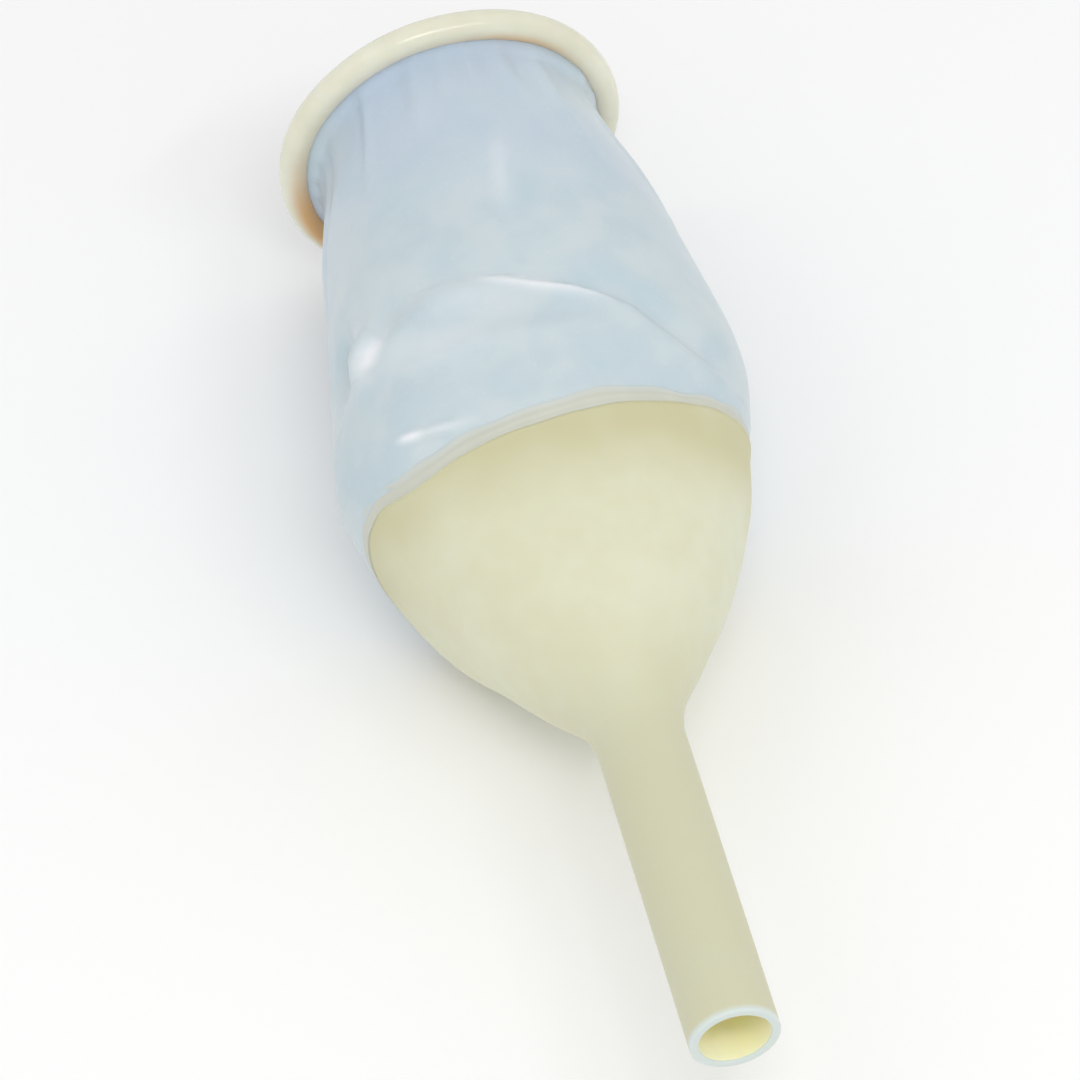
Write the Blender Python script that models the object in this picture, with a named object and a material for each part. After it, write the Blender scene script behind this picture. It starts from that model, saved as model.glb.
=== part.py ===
"""Urinary sheath with a drain funnel, lying on a table: a thin latex film tube with a rolled rim,
cemented into a thicker latex funnel that narrows to a round outlet tube.

Metres, +Z up.  The outlet tube points along -Y and the rolled rim faces +Y.  The origin is in the
middle of the footprint, on the table.
"""
import math

import bmesh
import bpy

MM = 0.001

# Outlet tube and funnel: one dipped moulding
TUBE_OUTER_RADIUS = 4.4 * MM
TUBE_WALL = 0.9 * MM
TUBE_LENGTH = 37.5 * MM
TUBE_EDGE = 0.15 * MM
FUNNEL_LENGTH = 28.0 * MM
FUNNEL_RIM_RADIUS = 19.2 * MM
FUNNEL_RIM_WALL = 0.45 * MM
NECK_FILLET = 1.5 * MM
WALL_FADE = 2.0 * MM

# Film sheath: from its lap inside the funnel to the rolled rim
SHEATH_LENGTH = 52.0 * MM
SHEATH_WIDEST_RADIUS = 21.0 * MM
SHEATH_WALL = 0.3 * MM
LAP_LENGTH = 4.0 * MM
SHOULDER_DROP = 0.5 * MM
MOUTH_FLARE = 1.1 * MM

# Cement band that shows beside the funnel's rim
BAND_WIDTH = 1.3 * MM
BAND_THICKNESS = 0.35 * MM

# Rolled rim
RIM_RING_RADIUS = 17.0 * MM
RIM_SECTION_RADIUS = 1.45 * MM

# How the soft body lies: its top sinks in at the seam, its underside flattens on the table,
# the film swells out on one side, and the seam and the rim lie a little askew
TOP_SINK = 5.0 * MM
FLAT_LENGTH = 3.0 * MM
FLAT_FADE = 13.0 * MM
FLAT_DIP = 0.6 * MM
SIDE_SWELL = 1.3 * MM
SEAM_YAW = math.radians(5.0)
RIM_YAW = math.radians(3.0)

# Space between pieces that touch, and the facets of a full turn
GAP = 0.3 * MM
TURN_STEPS = 48
RIM_STEPS = 12

# The shared axis, the seam at Y = 0 before centring, and the two ends
AXIS_HEIGHT = RIM_RING_RADIUS + RIM_SECTION_RADIUS
TUBE_END_Y = -(FUNNEL_LENGTH + TUBE_LENGTH)
RIM_END_Y = (SHEATH_LENGTH + RIM_RING_RADIUS * math.tan(RIM_YAW)
             + RIM_SECTION_RADIUS / math.cos(RIM_YAW))
CENTRE_Y = 0.5 * (TUBE_END_Y + RIM_END_Y)
SEAM_STEP = FUNNEL_RIM_WALL + GAP
SHEATH_SEAM_RADIUS = FUNNEL_RIM_RADIUS - SEAM_STEP
SHEATH_MOUTH_RADIUS = RIM_RING_RADIUS - RIM_SECTION_RADIUS - GAP


def ease(value, start, end):
    """Go smoothly from 0 at start to 1 at end."""
    share = min(max((value - start) / (end - start), 0.0), 1.0)
    return share * share * (3.0 - 2.0 * share)


def smooth_curve(stations):
    """Return a smooth function through (place, size) stations that never overshoots them."""
    places = [place for place, size in stations]
    sizes = [size for place, size in stations]
    steps = [(sizes[i + 1] - sizes[i]) / (places[i + 1] - places[i]) for i in range(len(sizes) - 1)]
    slopes = [steps[0]]
    for before, after in zip(steps, steps[1:]):
        slopes.append(2.0 * before * after / (before + after) if before * after > 0.0 else 0.0)
    slopes.append(steps[-1])

    def curve(place):
        last = len(steps) - 1
        i = next((k for k in range(last) if place < places[k + 1]), last)
        span = places[i + 1] - places[i]
        t = min(max((place - places[i]) / span, 0.0), 1.0)
        return ((1.0 + 2.0 * t) * (1.0 - t) ** 2 * sizes[i] + t * t * (3.0 - 2.0 * t) * sizes[i + 1]
                + span * t * (1.0 - t) * ((1.0 - t) * slopes[i] - t * slopes[i + 1]))

    return curve


# Radius of the funnel's outside, as shares of the way out from the tube to the rim
FLARE = FUNNEL_RIM_RADIUS - TUBE_OUTER_RADIUS
funnel_radius = smooth_curve([
    (-FUNNEL_LENGTH - NECK_FILLET, TUBE_OUTER_RADIUS),
    (-0.96 * FUNNEL_LENGTH, TUBE_OUTER_RADIUS + 0.03 * FLARE),
    (-0.75 * FUNNEL_LENGTH, TUBE_OUTER_RADIUS + 0.28 * FLARE),
    (-0.50 * FUNNEL_LENGTH, TUBE_OUTER_RADIUS + 0.58 * FLARE),
    (-0.25 * FUNNEL_LENGTH, TUBE_OUTER_RADIUS + 0.82 * FLARE),
    (0.0, FUNNEL_RIM_RADIUS),
])
funnel_wall = smooth_curve([
    (-FUNNEL_LENGTH, TUBE_WALL),
    (-0.5 * FUNNEL_LENGTH, 0.9 * TUBE_WALL),
    (-LAP_LENGTH - WALL_FADE, FUNNEL_RIM_WALL),
    (0.0, FUNNEL_RIM_WALL),
])

# Radius of the film's outside, which follows the funnel's bore inside the lap
sheath_radius = smooth_curve([
    (0.0, SHEATH_SEAM_RADIUS),
    (0.06 * SHEATH_LENGTH, SHEATH_SEAM_RADIUS + 0.5 * (SHEATH_WIDEST_RADIUS - SHEATH_SEAM_RADIUS)),
    (0.18 * SHEATH_LENGTH, SHEATH_WIDEST_RADIUS),
    (0.36 * SHEATH_LENGTH, SHEATH_WIDEST_RADIUS - SHOULDER_DROP),
    (0.60 * SHEATH_LENGTH, 0.5 * (SHEATH_WIDEST_RADIUS + SHEATH_MOUTH_RADIUS)),
    (0.85 * SHEATH_LENGTH, SHEATH_MOUTH_RADIUS + MOUTH_FLARE),
    (SHEATH_LENGTH, SHEATH_MOUTH_RADIUS),
])


def film_radius(y):
    """Radius of the film's outside, at any place from its hidden end to the mouth."""
    if y < 0.0:
        return funnel_radius(y) - funnel_wall(y) - GAP
    return sheath_radius(y)


def outside_radius(y):
    """Radius of whatever is outermost at y: this is what meets the table."""
    if y < 0.0:
        return funnel_radius(y)
    band_end = BAND_WIDTH + 2.0 * GAP
    return sheath_radius(y) + SEAM_STEP * (1.0 - ease(y, band_end, 3.0 * band_end))


def settle(point):
    """Carry a point of the turned body to where the soft body lies on the table."""
    x, y, z = point
    radius = math.hypot(x, z)
    rise = z / radius
    z += AXIS_HEIGHT
    if rise > 0.0:
        sink = ease(y, -FUNNEL_LENGTH, 0.0) * (1.0 - ease(y, 0.0, SHEATH_LENGTH))
        z -= TOP_SINK * sink * rise
    else:
        outside = outside_radius(y)
        flat = ease(y, -FLAT_LENGTH - FLAT_FADE, -FLAT_LENGTH) * (1.0 - ease(y, 0.0, FLAT_FADE))
        spread = max(AXIS_HEIGHT + FLAT_DIP - outside, 0.0) * flat
        underside = AXIS_HEIGHT + (outside + spread) * rise
        z += spread * rise + max(-underside, 0.0)
    swell = ease(y, 0.25 * SHEATH_LENGTH, 0.7 * SHEATH_LENGTH)
    swell *= 1.0 - ease(y, 0.75 * SHEATH_LENGTH, SHEATH_LENGTH)
    skew = math.tan(SEAM_YAW) * ease(y, -FUNNEL_LENGTH, 0.0)
    skew += (math.tan(RIM_YAW) - math.tan(SEAM_YAW)) * ease(y, 0.0, SHEATH_LENGTH)
    y += x * skew
    x += SIDE_SWELL * swell * max(x / radius, 0.0)
    return x, y - CENTRE_Y, z


def latex(name, colour, roughness):
    """Return a rubber material of one colour."""
    material = bpy.data.materials.new(name)
    material.use_nodes = True
    shader = material.node_tree.nodes["Principled BSDF"]
    shader.inputs["Base Color"].default_value = (*colour, 1.0)
    shader.inputs["Roughness"].default_value = roughness
    shader.inputs["Metallic"].default_value = 0.0
    material.diffuse_color = (*colour, 1.0)
    return material


def turned_piece(name, profile, material, steps=TURN_STEPS, anchor=(0.0, 0.0, 0.0)):
    """Turn a closed (radius, y) profile about the Y axis, settle it, and add it as one object."""
    mesh_builder = bmesh.new()
    corners = [mesh_builder.verts.new((radius, y, 0.0)) for radius, y in profile]
    edges = [mesh_builder.edges.new((corners[i - 1], corners[i])) for i in range(len(corners))]
    bmesh.ops.spin(mesh_builder, geom=corners + edges, cent=(0.0, 0.0, 0.0), axis=(0.0, 1.0, 0.0),
                   dvec=(0.0, 0.0, 0.0), angle=2.0 * math.pi, steps=steps, use_merge=True)
    for corner in mesh_builder.verts:
        settled = settle(corner.co)
        corner.co = [settled[i] - anchor[i] for i in range(3)]
    bmesh.ops.recalc_face_normals(mesh_builder, faces=mesh_builder.faces)
    mesh = bpy.data.meshes.new(name)
    mesh_builder.to_mesh(mesh)
    mesh_builder.free()
    mesh.shade_smooth()
    mesh.set_sharp_from_angle(angle=math.radians(40.0))
    mesh.materials.append(material)
    piece = bpy.data.objects.new(name, mesh)
    piece.location = anchor
    bpy.context.collection.objects.link(piece)
    return piece


def places_between(start, end, count):
    """Return count + 1 evenly spread places from start to end."""
    return [start + (end - start) * i / count for i in range(count + 1)]


def add_funnel():
    """Funnel and outlet tube: outside from the tube's end to the rim, then back along the bore."""
    flare = places_between(-FUNNEL_LENGTH - NECK_FILLET, 0.0, 22)
    bore = TUBE_OUTER_RADIUS - TUBE_WALL
    profile = [(TUBE_OUTER_RADIUS - TUBE_EDGE, TUBE_END_Y)]
    profile.append((TUBE_OUTER_RADIUS, TUBE_END_Y + TUBE_EDGE))
    profile += [(funnel_radius(y), y) for y in flare]
    profile += [(funnel_radius(y) - funnel_wall(y), y) for y in reversed(flare)]
    profile.append((bore, TUBE_END_Y))
    return turned_piece("funnel", profile, latex("Cream dipped latex", (0.74, 0.73, 0.55), 0.45))


def add_sheath():
    """Thin film tube: starts inside the funnel's rim and ends inside the rolled rim."""
    lap = places_between(-LAP_LENGTH, 0.0, 4)
    free = places_between(0.0, SHEATH_LENGTH, 22)[1:]
    length = lap + free
    profile = [(film_radius(y), y) for y in length]
    profile += [(film_radius(y) - SHEATH_WALL, y) for y in reversed(length)]
    return turned_piece("sheath", profile, latex("Pale latex film", (0.55, 0.64, 0.70), 0.35))


def add_bond_band():
    """Narrow strip of cement on the film, against the funnel's rim."""
    across = places_between(GAP, GAP + BAND_WIDTH, 2)
    profile = [(film_radius(y) + GAP + BAND_THICKNESS, y) for y in across]
    profile += [(film_radius(y) + GAP, y) for y in reversed(across)]
    return turned_piece("bond_band", profile, latex("Dried latex cement", (0.62, 0.67, 0.64), 0.5))


def add_rolled_rim():
    """Rolled-up end of the film: a round ring whose origin is on the axis that it rolls along."""
    turns = [2.0 * math.pi * i / RIM_STEPS for i in range(RIM_STEPS)]
    profile = [(RIM_RING_RADIUS + RIM_SECTION_RADIUS * math.cos(turn),
                SHEATH_LENGTH + RIM_SECTION_RADIUS * math.sin(turn)) for turn in turns]
    anchor = (0.0, SHEATH_LENGTH - CENTRE_Y, AXIS_HEIGHT)
    return turned_piece("rolled_rim", profile, latex("Rolled latex film", (0.72, 0.70, 0.52), 0.4),
                        anchor=anchor)


for old in list(bpy.data.objects):
    bpy.data.objects.remove(old, do_unlink=True)

add_funnel()
add_sheath()
add_bond_band()
add_rolled_rim()
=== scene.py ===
# %% [markdown]
# This lesson dresses a urinary sheath: a thin latex film with a rolled rim, cemented into a thicker latex
# funnel with an outlet tube.  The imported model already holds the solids, their sizes and the moving rim.
# The scene could show those solids as they are.  It lays finer skins over them instead, because soft film
# needs creases, powder and an uneven edge that a plain solid does not have.

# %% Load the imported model
import math

import bmesh
import bpy
import numpy as np
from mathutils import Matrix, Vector


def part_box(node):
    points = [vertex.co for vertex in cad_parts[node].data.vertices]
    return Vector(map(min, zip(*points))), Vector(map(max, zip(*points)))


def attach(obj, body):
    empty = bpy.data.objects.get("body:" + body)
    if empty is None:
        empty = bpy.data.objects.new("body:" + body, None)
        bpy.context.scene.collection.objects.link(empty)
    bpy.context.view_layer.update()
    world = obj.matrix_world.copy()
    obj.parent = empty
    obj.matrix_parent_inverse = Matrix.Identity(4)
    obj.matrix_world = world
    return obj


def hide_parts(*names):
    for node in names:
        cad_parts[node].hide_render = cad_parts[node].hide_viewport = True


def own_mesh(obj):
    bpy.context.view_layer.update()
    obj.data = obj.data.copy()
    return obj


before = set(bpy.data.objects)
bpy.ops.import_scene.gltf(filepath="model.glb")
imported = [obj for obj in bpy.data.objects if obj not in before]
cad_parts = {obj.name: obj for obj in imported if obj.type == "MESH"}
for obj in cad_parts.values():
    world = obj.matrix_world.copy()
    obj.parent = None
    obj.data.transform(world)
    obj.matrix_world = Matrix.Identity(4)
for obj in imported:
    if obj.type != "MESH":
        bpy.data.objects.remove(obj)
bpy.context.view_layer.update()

# %% [markdown]
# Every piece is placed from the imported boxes, so that a skin lands on its solid.  The outlet tube lies
# along Y with its open end at the low side, and the rim stands across the far end.  Lengths are in
# metres, written as millimetres times MM, so that a reader can lay a ruler beside the numbers.

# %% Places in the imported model
MM = 0.001
FILM_LENGTH = 52.0 * MM
rim_low, rim_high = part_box("rolled_rim")
TUBE_END_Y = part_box("funnel")[0][1]
RIM_Y = 0.5 * (rim_low[1] + rim_high[1])
AXIS_HEIGHT = 0.5 * (rim_low[2] + rim_high[2])
SEAM_Y = RIM_Y - FILM_LENGTH
print("seam at y =", round(SEAM_Y / MM, 2), "mm, rim at y =", round(RIM_Y / MM, 2), "mm")

# %% [markdown]
# Dipped latex takes the shape of a turned former, so its profile is a smooth curve.  Blender could spin a
# Bezier curve.  Two small number curves are used here, because the creases, the cement and the floor
# contact all need to ask the same profile for its radius.  `ease` goes smoothly from 0 to 1, and
# `smooth_curve` passes through stations without overshooting, which keeps a profile free of bumps.

# %% Smooth curves
def ease(value, start, end):
    share = np.clip((value - start) / (end - start), 0.0, 1.0)
    return share * share * (3.0 - 2.0 * share)


def smooth_curve(stations):
    places, sizes = np.array(stations).T
    steps = np.diff(sizes) / np.diff(places)
    slopes = [steps[0]]
    for before, after in zip(steps, steps[1:]):
        slopes.append(2.0 * before * after / (before + after) if before * after > 0.0 else 0.0)
    slopes = np.array(slopes + [steps[-1]])

    def curve(place):
        place = np.clip(place, places[0], places[-1])
        i = np.clip(np.searchsorted(places, place) - 1, 0, len(steps) - 1)
        span = places[i + 1] - places[i]
        t = (place - places[i]) / span
        level = (1.0 + 2.0 * t) * (1.0 - t) ** 2 * sizes[i] + t * t * (3.0 - 2.0 * t) * sizes[i + 1]
        return level + span * t * (1.0 - t) * ((1.0 - t) * slopes[i] - t * slopes[i + 1])

    return curve


print("half way between 0 and 1, ease gives", float(ease(0.5, 0.0, 1.0)))

# %% [markdown]
# The funnel and its tube are one moulding.  The tube is thick enough to grip a drainage connector, and
# the flare thins out to a fine edge at the seam.  A cone and a cylinder could stand for them, but would
# meet in a hard line, so one smooth curve goes through stations.  Y counts from the seam, so the funnel
# is on the minus side.

# %% Profile of the funnel
TUBE_RADIUS = 4.4 * MM
TUBE_WALL = 0.9 * MM
FUNNEL_LENGTH = 28.0 * MM
FUNNEL_RADIUS = 19.2 * MM
FUNNEL_EDGE_WALL = 0.3 * MM
NECK_FILLET = 1.5 * MM
LAP = 4.0 * MM
FLARE = FUNNEL_RADIUS - TUBE_RADIUS
funnel_radius = smooth_curve([
    (-FUNNEL_LENGTH - NECK_FILLET, TUBE_RADIUS),
    (-0.96 * FUNNEL_LENGTH, TUBE_RADIUS + 0.045 * FLARE),
    (-0.75 * FUNNEL_LENGTH, TUBE_RADIUS + 0.305 * FLARE),
    (-0.50 * FUNNEL_LENGTH, TUBE_RADIUS + 0.615 * FLARE),
    (-0.25 * FUNNEL_LENGTH, TUBE_RADIUS + 0.85 * FLARE),
    (0.0, FUNNEL_RADIUS),
])
funnel_wall = smooth_curve([
    (-FUNNEL_LENGTH, TUBE_WALL),
    (-0.5 * FUNNEL_LENGTH, 0.9 * TUBE_WALL),
    (-LAP - 2.0 * MM, 1.5 * FUNNEL_EDGE_WALL),
    (0.0, FUNNEL_EDGE_WALL),
])
print("funnel radius half way:", round(float(funnel_radius(-0.5 * FUNNEL_LENGTH)) / MM, 2), "mm")

# %% [markdown]
# The film is a tube that bellies out beside the seam, narrows towards the rim and turns up into the roll.
# Inside the funnel it laps the funnel's wall, with a hair of room between the two skins.  One curve over
# the whole length would be simpler, but the lap has to follow the wall that it is glued to.

# %% Profile of the film
ROLL_RADIUS = 1.6 * MM
RING_RADIUS = AXIS_HEIGHT - ROLL_RADIUS
SEAM_ROOM = 0.05 * MM
LAP_ROOM = 0.1 * MM
FILM_SEAM = FUNNEL_RADIUS - FUNNEL_EDGE_WALL - SEAM_ROOM
FILM_WIDEST = 21.0 * MM
FILM_NARROW = RING_RADIUS - 0.85 * ROLL_RADIUS
FILM_MOUTH = RING_RADIUS - 0.35 * ROLL_RADIUS
free_film_radius = smooth_curve([
    (0.0, FILM_SEAM),
    (0.06 * FILM_LENGTH, FILM_SEAM + 0.5 * (FILM_WIDEST - FILM_SEAM)),
    (0.18 * FILM_LENGTH, FILM_WIDEST),
    (0.36 * FILM_LENGTH, FILM_WIDEST - 0.5 * MM),
    (0.60 * FILM_LENGTH, 0.5 * (FILM_WIDEST + FILM_NARROW)),
    (0.82 * FILM_LENGTH, FILM_NARROW + 0.7 * MM),
    (0.94 * FILM_LENGTH, FILM_NARROW),
    (FILM_LENGTH, FILM_MOUTH),
])


def film_radius(y):
    lapped = funnel_radius(y) - funnel_wall(y) - LAP_ROOM
    return np.where(y < 0.0, lapped, free_film_radius(y))


print("film radius at the roll:", round(FILM_MOUTH / MM, 2), "mm")

# %% [markdown]
# Seen from above, the sides of the soft body are no mirror pair: here they bulge, there they draw in.  A
# lattice could bend the finished meshes.  Two curves say instead how far each side stands out, so that
# the same numbers move every skin.

# %% Sides of the body
right_swell = smooth_curve([
    (-0.3 * FUNNEL_LENGTH, 0.0),
    (0.0, 0.35 * MM),
    (0.12 * FILM_LENGTH, 0.5 * MM),
    (0.28 * FILM_LENGTH, 0.85 * MM),
    (0.40 * FILM_LENGTH, 0.65 * MM),
    (0.58 * FILM_LENGTH, 1.0 * MM),
    (0.70 * FILM_LENGTH, 0.7 * MM),
    (0.80 * FILM_LENGTH, 0.0),
    (0.90 * FILM_LENGTH, -0.4 * MM),
    (0.93 * FILM_LENGTH, -0.4 * MM),
    (0.965 * FILM_LENGTH, 0.0),
])
left_swell = smooth_curve([
    (-0.95 * FUNNEL_LENGTH, 0.0),
    (-0.68 * FUNNEL_LENGTH, 0.5 * MM),
    (-0.38 * FUNNEL_LENGTH, 0.3 * MM),
    (-0.17 * FUNNEL_LENGTH, 0.95 * MM),
    (0.0, 1.05 * MM),
    (0.10 * FILM_LENGTH, 0.85 * MM),
    (0.20 * FILM_LENGTH, 0.15 * MM),
    (0.26 * FILM_LENGTH, -0.2 * MM),
    (0.34 * FILM_LENGTH, -0.55 * MM),
    (0.50 * FILM_LENGTH, -0.35 * MM),
    (0.65 * FILM_LENGTH, 0.0),
])
print("at the seam the left side stands out by", round(float(left_swell(0.0)) / MM, 2), "mm")

# %% [markdown]
# Soft latex does not stay round on a table.  A cloth simulation could let it sag, but would give a new
# shape on each change.  `settle` is a plain rule instead: it lowers the top at the seam, flattens the
# underside on the floor, swells the sides and skews the seam and the rim.  All skins share it, so their
# gaps stay even.

# %% Let the body settle
TOP_SINK = 5.0 * MM
FLAT_LENGTH = 3.0 * MM
FLAT_FADE = 13.0 * MM
FLAT_DIP = 0.6 * MM
FUNNEL_LEAN = 0.5 * MM
SEAM_SHIFT = 0.8 * MM
SEAM_LIFT = 2.0 * MM
# The seam lifts at its left end only, from this share of the way across
LIFT_START = 0.75
SEAM_YAW = math.radians(7.0)
RIM_YAW = math.radians(3.0)
LEAN_RISE = (-0.85 * FUNNEL_LENGTH, -0.4 * FUNNEL_LENGTH)
LEAN_FALL = (-0.25 * FUNNEL_LENGTH, 0.0)
# Relief fades out between these shares of the way down to the lowest line
RELIEF_FADE = (0.7, 0.92)
NEVER_ZERO = 1e-9


def settle(x, y, z):
    """Where points of the round body lie once it has settled; y counts from the seam."""
    radius = np.maximum(np.hypot(x, z), NEVER_ZERO)
    rise = z / radius
    across = x / radius
    near_seam = ease(y, -FUNNEL_LENGTH, 0.0) * (1.0 - ease(y, 0.0, FILM_LENGTH))
    outside = np.where(y < 0.0, funnel_radius(y), film_radius(np.maximum(y, 0.0)))
    flat = ease(y, -FLAT_LENGTH - FLAT_FADE, -FLAT_LENGTH) * (1.0 - ease(y, 0.0, FLAT_FADE))
    spread = np.maximum(AXIS_HEIGHT + FLAT_DIP - outside, 0.0) * flat
    lifted = np.maximum(-(AXIS_HEIGHT + (outside + spread) * rise), 0.0)
    change = np.where(rise > 0.0, -TOP_SINK * near_seam * rise, spread * rise + lifted)
    skew = math.tan(SEAM_YAW) * ease(y, -FUNNEL_LENGTH, 0.0)
    skew = skew + (math.tan(RIM_YAW) - math.tan(SEAM_YAW)) * ease(y, 0.0, FILM_LENGTH)
    lean = ease(y, *LEAN_RISE) * (1.0 - ease(y, *LEAN_FALL))
    sideways = FUNNEL_LEAN * lean + right_swell(y) * np.maximum(across, 0.0)
    sideways = sideways - left_swell(y) * np.maximum(-across, 0.0)
    lengthwise = x * skew + (SEAM_SHIFT + SEAM_LIFT * ease(-across, LIFT_START, 1.0)) * near_seam
    return x + sideways, y + lengthwise + SEAM_Y, z + AXIS_HEIGHT + change


def clear_of_floor(angle):
    """1 where relief may stand out, fading to 0 on the underside, which rests on the floor."""
    return 1.0 - ease(-np.sin(angle), *RELIEF_FADE)


print("the top at the seam sinks by", TOP_SINK / MM, "mm")

# %% [markdown]
# A turned skin is a grid: one ring of points for each point of its closed profile.  Blender's Screw
# modifier makes the same grid, but here each point can be asked where it is.  `relief` pushes a point
# outward, `shift` moves it lengthwise and `paint` gives it a share that its material can read.

# %% Turn a profile into a skin
def turned_skin(name, profile, steps, material, relief=None, shift=None, paint=None):
    radii, places = np.array(profile).T
    rings = len(radii)
    y, angle = np.meshgrid(places, np.arange(steps) * 2.0 * math.pi / steps, indexing="ij")
    plain_radius = np.repeat(radii[:, None], steps, axis=1)
    radius = plain_radius + (relief(y, angle) if relief else 0.0)
    moved_y = y + (shift(y, angle) if shift else 0.0)
    points = np.stack(settle(radius * np.cos(angle), moved_y, radius * np.sin(angle)), axis=-1)
    points[..., 2] = np.maximum(points[..., 2], 0.0)
    faces = []
    for ring in range(rings):
        near = ring * steps
        far = (ring + 1) % rings * steps
        for step in range(steps):
            beside = (step + 1) % steps
            faces.append((near + step, near + beside, far + beside, far + step))
    mesh = bpy.data.meshes.new(name)
    mesh.from_pydata(points.reshape(-1, 3).tolist(), [], faces)
    shell = bmesh.new()
    shell.from_mesh(mesh)
    bmesh.ops.recalc_face_normals(shell, faces=shell.faces)
    shell.to_mesh(mesh)
    shell.free()
    mesh.shade_smooth()
    if paint:
        share = mesh.attributes.new("paint", "FLOAT", "POINT")
        share.data.foreach_set("value", paint(y, angle, plain_radius).ravel())
    mesh.materials.append(material)
    skin = bpy.data.objects.new(name, mesh)
    bpy.context.collection.objects.link(skin)
    print(name, "has", len(mesh.vertices), "points")
    return skin


print("a skin is turned from a closed profile of (radius, y) points")

# %% [markdown]
# Colours are written as the sRGB hex that a paint program shows and turned to linear light in one place.
# Nodes could be joined by hand in the shader editor, but a script can be read and changed.  `add_node`
# adds any shader node: settings by name, then sockets as numbers, colours or links.  A Mix node set to
# colour takes its share at socket 0 and its colours at 6 and 7, and gives the mix at output 2.

# %% Colour and node helpers
def linear(hex_colour):
    channels = [int(hex_colour[i:i + 2], 16) / 255.0 for i in (1, 3, 5)]
    return (*[c / 12.92 if c <= 0.04045 else ((c + 0.055) / 1.055) ** 2.4 for c in channels], 1.0)


def add_node(tree, kind, settings=None, sockets=None):
    node = tree.nodes.new(kind)
    for name, value in (settings or {}).items():
        setattr(node, name, value)
    for name, value in (sockets or {}).items():
        if isinstance(value, bpy.types.NodeSocket):
            tree.links.new(value, node.inputs[name])
        else:
            node.inputs[name].default_value = value
    return node


COLOURS = {"data_type": "RGBA"}
SMOOTH = {"interpolation_type": "SMOOTHSTEP"}
MULTIPLY = {"operation": "MULTIPLY"}


def new_material(name):
    material = bpy.data.materials.new(name)
    material.use_nodes = True
    tree = material.node_tree
    place = add_node(tree, "ShaderNodeTexCoord").outputs["Object"]
    return material, tree, tree.nodes["Principled BSDF"], place


print("white in linear light:", linear("#ffffff")[:3])

# %% [markdown]
# Every piece is natural latex, so one index of refraction serves all.  A clear coat could give the shine,
# but latex has no lacquer: its own skin shines, unevenly, over a fine relief.  Some of the light goes a
# short way in and comes out beside the place where it went in, which makes latex look soft.

# %% What all latex shares
LATEX_IOR = 1.52
BUMP_STRENGTH = 0.5


def set_surface(tree, shader, colour, gloss, bump):
    tree.links.new(colour, shader.inputs["Base Color"])
    tree.links.new(gloss.outputs["Result"], shader.inputs["Roughness"])
    tree.links.new(bump.outputs["Normal"], shader.inputs["Normal"])
    shader.inputs["IOR"].default_value = LATEX_IOR


def set_depth(shader, softness, scatter, depth):
    """How much light goes in, how far red, green and blue go beside each other, and how deep."""
    shader.inputs["Subsurface Weight"].default_value = softness
    shader.inputs["Subsurface Radius"].default_value = scatter
    shader.inputs["Subsurface Scale"].default_value = depth


print("latex has an index of refraction of", LATEX_IOR)

# %% [markdown]
# The film is natural latex, dipped thin and dusted with powder so that it does not stick.  It is milky
# and slightly blue, because thin latex scatters blue light best, with a satin gloss.  Powder shows as a
# fine speckle.  Where `paint` says so, along some creases, the film is whitened by painted highlights.
# Clear plastic with transmission was the other way, but real film hides what is behind it.

# %% Dipped latex film
CLOUD_SIZE = 6.0 * MM
PATCH_SIZE = 18.0 * MM
# Powder grains are finer than a pixel; they are drawn this coarse so that they show
SPECKLE_SIZE = 0.5 * MM
SPECKLE_SHARE = 0.07
SPECKLE_BUMP = 0.03 * MM
# Noise levels between which a pattern goes from none to full
CLOUD_RANGE = {"From Min": 0.25, "From Max": 0.75}
PATCH_RANGE = {"From Min": 0.2, "From Max": 0.7}
SPECKLE_RANGE = {"From Min": 0.58, "From Max": 0.75}
# The bluer film lies between these places along Y
BLUE_RANGE = {"From Min": SEAM_Y + 0.4 * FILM_LENGTH, "From Max": RIM_Y}
FILM_GLOSS_SPREAD = 0.05
FILM_SCATTER = (0.9, 1.0, 1.1)


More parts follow.
